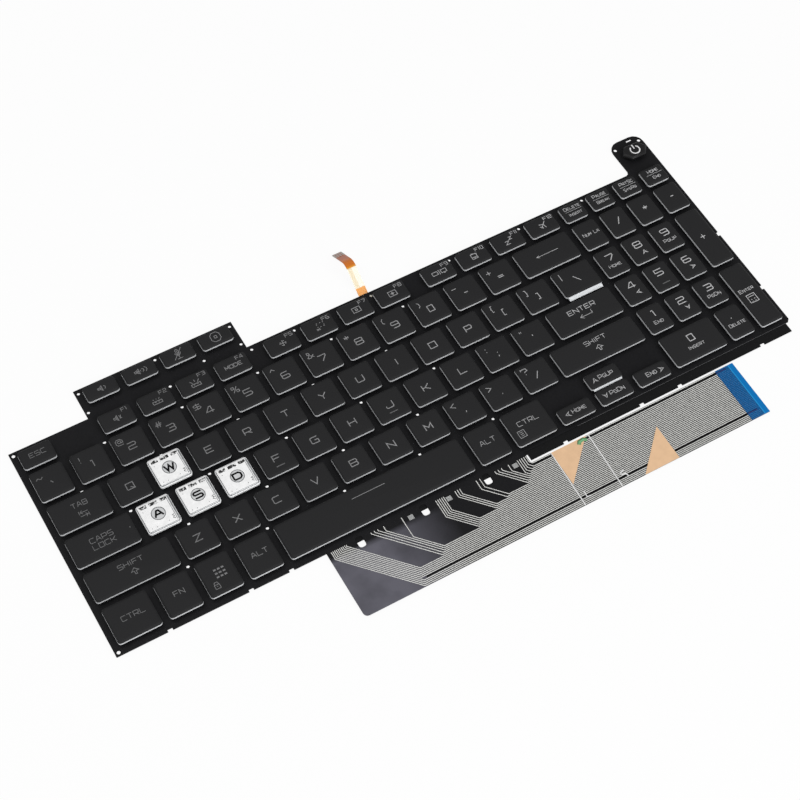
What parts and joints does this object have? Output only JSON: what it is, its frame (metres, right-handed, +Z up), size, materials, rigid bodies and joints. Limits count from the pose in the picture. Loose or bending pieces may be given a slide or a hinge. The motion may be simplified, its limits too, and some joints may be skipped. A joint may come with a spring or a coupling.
{
  "type": "laptop keyboard module",
  "caption": "Thin laptop keyboard module: low sprung keycaps with a number pad on a black plate, a flat printed tail with a stiffened end and an amber backlight flex.",
  "frame": {"origin": "middle of the base plate's main field, on the underside of the back film", "axes": "+X along the key rows to the right, +Y away from the typist, +Z up out of the key tops"},
  "size_m": [0.3312, 0.1631, 0.0084],
  "materials": {
    "cap_dark": "fine matt texture over a pale translucent foot",
    "cap_clear": "clear, polished",
    "link_white": "moulded, satin",
    "plate_black": "black coated steel sheet",
    "membrane_black": "black printed polyester with silver traces on the tail",
    "stiffener_blue": "blue film",
    "tape_tan": "tape liner",
    "guide_clear": "clear sheet",
    "film_black": "matt film",
    "flex_amber": "amber polyimide film",
    "contact_grey": "plated contacts on a stiffener",
    "lamp_white": "moulded lamp body",
    "dome_rubber": "soft silicone"
  },
  "bodies": {
    "module": {"base_plate": "plate_black", "switch_membrane": "membrane_black", "tail_stiffener": "stiffener_blue", "tail_tape_patches": "tape_tan", "light_guide": "guide_clear", "back_film": "film_black", "led_flex": "flex_amber", "led_flex_contacts": "contact_grey", "backlight_lamps": "lamp_white", "rubber_domes": "dome_rubber", "letter_keys": "cap_dark", "digit_keys": "cap_dark", "function_keys": "cap_dark", "pad_keys": "cap_dark"},
    "power_key": {"power_key": "cap_dark"},
    "w_key": {"w_key": "cap_clear"},
    "a_key": {"a_key": "cap_clear"},
    "s_key": {"s_key": "cap_clear"},
    "d_key": {"d_key": "cap_clear"},
    "f_key": {"f_key": "cap_dark"},
    "j_key": {"j_key": "cap_dark"},
    "escape_key": {"escape_key": "cap_dark"},
    "backspace_key": {"backspace_key": "cap_dark"},
    "tab_key": {"tab_key": "cap_dark"},
    "backslash_key": {"backslash_key": "cap_dark"},
    "caps_lock_key": {"caps_lock_key": "cap_dark"},
    "enter_key": {"enter_key": "cap_dark"},
    "left_shift_key": {"left_shift_key": "cap_dark"},
    "right_shift_key": {"right_shift_key": "cap_dark"},
    "left_arrow_key": {"left_arrow_key": "cap_dark"},
    "up_arrow_key": {"up_arrow_key": "cap_dark"},
    "down_arrow_key": {"down_arrow_key": "cap_dark"},
    "right_arrow_key": {"right_arrow_key": "cap_dark"},
    "left_ctrl_key": {"left_ctrl_key": "cap_dark"},
    "fn_key": {"fn_key": "cap_dark"},
    "system_key": {"system_key": "cap_dark"},
    "left_alt_key": {"left_alt_key": "cap_dark"},
    "space_key": {"space_key": "cap_dark"},
    "right_alt_key": {"right_alt_key": "cap_dark"},
    "right_ctrl_key": {"right_ctrl_key": "cap_dark"},
    "volume_down_key": {"volume_down_key": "cap_dark"},
    "volume_up_key": {"volume_up_key": "cap_dark"},
    "microphone_key": {"microphone_key": "cap_dark"},
    "tool_key": {"tool_key": "cap_dark"},
    "pad_plus_key": {"pad_plus_key": "cap_dark"},
    "pad_enter_key": {"pad_enter_key": "cap_dark"},
    "pad_zero_key": {"pad_zero_key": "cap_dark"},
    "w_outer_link": {"w_outer_link": "link_white"},
    "w_inner_link": {"w_inner_link": "link_white"},
    "a_outer_link": {"a_outer_link": "link_white"},
    "a_inner_link": {"a_inner_link": "link_white"},
    "s_outer_link": {"s_outer_link": "link_white"},
    "s_inner_link": {"s_inner_link": "link_white"},
    "d_outer_link": {"d_outer_link": "link_white"},
    "d_inner_link": {"d_inner_link": "link_white"}
  },
  "joints": [
    {"name": "power_press", "type": "slide", "parent": "module", "child": "power_key", "axis": [0, 0, -1], "range_m": [0, 0.0017], "stiffness_N_per_m": 300, "deforming": ["rubber_domes"]},
    {"name": "w_press", "type": "slide", "parent": "module", "child": "w_key", "axis": [0, 0, -1], "range_m": [0, 0.0017], "stiffness_N_per_m": 300, "deforming": ["rubber_domes"]},
    {"name": "a_press", "type": "slide", "parent": "module", "child": "a_key", "axis": [0, 0, -1], "range_m": [0, 0.0017], "stiffness_N_per_m": 300, "deforming": ["rubber_domes"]},
    {"name": "s_press", "type": "slide", "parent": "module", "child": "s_key", "axis": [0, 0, -1], "range_m": [0, 0.0017], "stiffness_N_per_m": 300, "deforming": ["rubber_domes"]},
    {"name": "d_press", "type": "slide", "parent": "module", "child": "d_key", "axis": [0, 0, -1], "range_m": [0, 0.0017], "stiffness_N_per_m": 300, "deforming": ["rubber_domes"]},
    {"name": "f_press", "type": "slide", "parent": "module", "child": "f_key", "axis": [0, 0, -1], "range_m": [0, 0.0017], "stiffness_N_per_m": 300, "deforming": ["rubber_domes"]},
    {"name": "j_press", "type": "slide", "parent": "module", "child": "j_key", "axis": [0, 0, -1], "range_m": [0, 0.0017], "stiffness_N_per_m": 300, "deforming": ["rubber_domes"]},
    {"name": "escape_press", "type": "slide", "parent": "module", "child": "escape_key", "axis": [0, 0, -1], "range_m": [0, 0.0017], "stiffness_N_per_m": 300, "deforming": ["rubber_domes"]},
    {"name": "backspace_press", "type": "slide", "parent": "module", "child": "backspace_key", "axis": [0, 0, -1], "range_m": [0, 0.0017], "stiffness_N_per_m": 300, "deforming": ["rubber_domes"]},
    {"name": "tab_press", "type": "slide", "parent": "module", "child": "tab_key", "axis": [0, 0, -1], "range_m": [0, 0.0017], "stiffness_N_per_m": 300, "deforming": ["rubber_domes"]},
    {"name": "backslash_press", "type": "slide", "parent": "module", "child": "backslash_key", "axis": [0, 0, -1], "range_m": [0, 0.0017], "stiffness_N_per_m": 300, "deforming": ["rubber_domes"]},
    {"name": "caps_lock_press", "type": "slide", "parent": "module", "child": "caps_lock_key", "axis": [0, 0, -1], "range_m": [0, 0.0017], "stiffness_N_per_m": 300, "deforming": ["rubber_domes"]},
    {"name": "enter_press", "type": "slide", "parent": "module", "child": "enter_key", "axis": [0, 0, -1], "range_m": [0, 0.0017], "stiffness_N_per_m": 300, "deforming": ["rubber_domes"]},
    {"name": "left_shift_press", "type": "slide", "parent": "module", "child": "left_shift_key", "axis": [0, 0, -1], "range_m": [0, 0.0017], "stiffness_N_per_m": 300, "deforming": ["rubber_domes"]},
    {"name": "right_shift_press", "type": "slide", "parent": "module", "child": "right_shift_key", "axis": [0, 0, -1], "range_m": [0, 0.0017], "stiffness_N_per_m": 300, "deforming": ["rubber_domes"]},
    {"name": "left_arrow_press", "type": "slide", "parent": "module", "child": "left_arrow_key", "axis": [0, 0, -1], "range_m": [0, 0.0017], "stiffness_N_per_m": 300, "deforming": ["rubber_domes"]},
    {"name": "up_arrow_press", "type": "slide", "parent": "module", "child": "up_arrow_key", "axis": [0, 0, -1], "range_m": [0, 0.0017], "stiffness_N_per_m": 300, "deforming": ["rubber_domes"]},
    {"name": "down_arrow_press", "type": "slide", "parent": "module", "child": "down_arrow_key", "axis": [0, 0, -1], "range_m": [0, 0.0017], "stiffness_N_per_m": 300, "deforming": ["rubber_domes"]},
    {"name": "right_arrow_press", "type": "slide", "parent": "module", "child": "right_arrow_key", "axis": [0, 0, -1], "range_m": [0, 0.0017], "stiffness_N_per_m": 300, "deforming": ["rubber_domes"]},
    {"name": "left_ctrl_press", "type": "slide", "parent": "module", "child": "left_ctrl_key", "axis": [0, 0, -1], "range_m": [0, 0.0017], "stiffness_N_per_m": 300, "deforming": ["rubber_domes"]},
    {"name": "fn_press", "type": "slide", "parent": "module", "child": "fn_key", "axis": [0, 0, -1], "range_m": [0, 0.0017], "stiffness_N_per_m": 300, "deforming": ["rubber_domes"]},
    {"name": "system_press", "type": "slide", "parent": "module", "child": "system_key", "axis": [0, 0, -1], "range_m": [0, 0.0017], "stiffness_N_per_m": 300, "deforming": ["rubber_domes"]},
    {"name": "left_alt_press", "type": "slide", "parent": "module", "child": "left_alt_key", "axis": [0, 0, -1], "range_m": [0, 0.0017], "stiffness_N_per_m": 300, "deforming": ["rubber_domes"]},
    {"name": "space_press", "type": "slide", "parent": "module", "child": "space_key", "axis": [0, 0, -1], "range_m": [0, 0.0017], "stiffness_N_per_m": 300, "deforming": ["rubber_domes"]},
    {"name": "right_alt_press", "type": "slide", "parent": "module", "child": "right_alt_key", "axis": [0, 0, -1], "range_m": [0, 0.0017], "stiffness_N_per_m": 300, "deforming": ["rubber_domes"]},
    {"name": "right_ctrl_press", "type": "slide", "parent": "module", "child": "right_ctrl_key", "axis": [0, 0, -1], "range_m": [0, 0.0017], "stiffness_N_per_m": 300, "deforming": ["rubber_domes"]},
    {"name": "volume_down_press", "type": "slide", "parent": "module", "child": "volume_down_key", "axis": [0, 0, -1], "range_m": [0, 0.0017], "stiffness_N_per_m": 300, "deforming": ["rubber_domes"]},
    {"name": "volume_up_press", "type": "slide", "parent": "module", "child": "volume_up_key", "axis": [0, 0, -1], "range_m": [0, 0.0017], "stiffness_N_per_m": 300, "deforming": ["rubber_domes"]},
    {"name": "microphone_press", "type": "slide", "parent": "module", "child": "microphone_key", "axis": [0, 0, -1], "range_m": [0, 0.0017], "stiffness_N_per_m": 300, "deforming": ["rubber_domes"]},
    {"name": "tool_press", "type": "slide", "parent": "module", "child": "tool_key", "axis": [0, 0, -1], "range_m": [0, 0.0017], "stiffness_N_per_m": 300, "deforming": ["rubber_domes"]},
    {"name": "pad_plus_press", "type": "slide", "parent": "module", "child": "pad_plus_key", "axis": [0, 0, -1], "range_m": [0, 0.0017], "stiffness_N_per_m": 300, "deforming": ["rubber_domes"]},
    {"name": "pad_enter_press", "type": "slide", "parent": "module", "child": "pad_enter_key", "axis": [0, 0, -1], "range_m": [0, 0.0017], "stiffness_N_per_m": 300, "deforming": ["rubber_domes"]},
    {"name": "pad_zero_press", "type": "slide", "parent": "module", "child": "pad_zero_key", "axis": [0, 0, -1], "range_m": [0, 0.0017], "stiffness_N_per_m": 300, "deforming": ["rubber_domes"]},
    {"name": "w_outer_fold", "type": "hinge", "parent": "module", "child": "w_outer_link", "pos_m": [-0.1099, 0.01736, 0.00165], "axis": [1, 0, 0], "range_deg": [0, 10.97]},
    {"name": "w_inner_fold", "type": "hinge", "parent": "w_key", "child": "w_inner_link", "pos_m": [-0.1099, 0.01736, 0.0036], "axis": [-1, 0, 0], "range_deg": [0, 10.97]},
    {"name": "a_outer_fold", "type": "hinge", "parent": "module", "child": "a_outer_link", "pos_m": [-0.12355, -0.00009, 0.00165], "axis": [1, 0, 0], "range_deg": [0, 10.97]},
    {"name": "a_inner_fold", "type": "hinge", "parent": "a_key", "child": "a_inner_link", "pos_m": [-0.12355, -0.00009, 0.0036], "axis": [-1, 0, 0], "range_deg": [0, 10.97]},
    {"name": "s_outer_fold", "type": "hinge", "parent": "module", "child": "s_outer_link", "pos_m": [-0.10535, -0.00009, 0.00165], "axis": [1, 0, 0], "range_deg": [0, 10.97]},
    {"name": "s_inner_fold", "type": "hinge", "parent": "s_key", "child": "s_inner_link", "pos_m": [-0.10535, -0.00009, 0.0036], "axis": [-1, 0, 0], "range_deg": [0, 10.97]},
    {"name": "d_outer_fold", "type": "hinge", "parent": "module", "child": "d_outer_link", "pos_m": [-0.08715, -0.00009, 0.00165], "axis": [1, 0, 0], "range_deg": [0, 10.97]},
    {"name": "d_inner_fold", "type": "hinge", "parent": "d_key", "child": "d_inner_link", "pos_m": [-0.08715, -0.00009, 0.0036], "axis": [-1, 0, 0], "range_deg": [0, 10.97]}
  ],
  "couplings": [
    {"joint": "w_outer_fold", "follows": "w_press", "rad_per_m": 112.13},
    {"joint": "w_inner_fold", "follows": "w_press", "rad_per_m": 112.13},
    {"joint": "a_outer_fold", "follows": "a_press", "rad_per_m": 112.13},
    {"joint": "a_inner_fold", "follows": "a_press", "rad_per_m": 112.13},
    {"joint": "s_outer_fold", "follows": "s_press", "rad_per_m": 112.13},
    {"joint": "s_inner_fold", "follows": "s_press", "rad_per_m": 112.13},
    {"joint": "d_outer_fold", "follows": "d_press", "rad_per_m": 112.13},
    {"joint": "d_inner_fold", "follows": "d_press", "rad_per_m": 112.13}
  ]
}
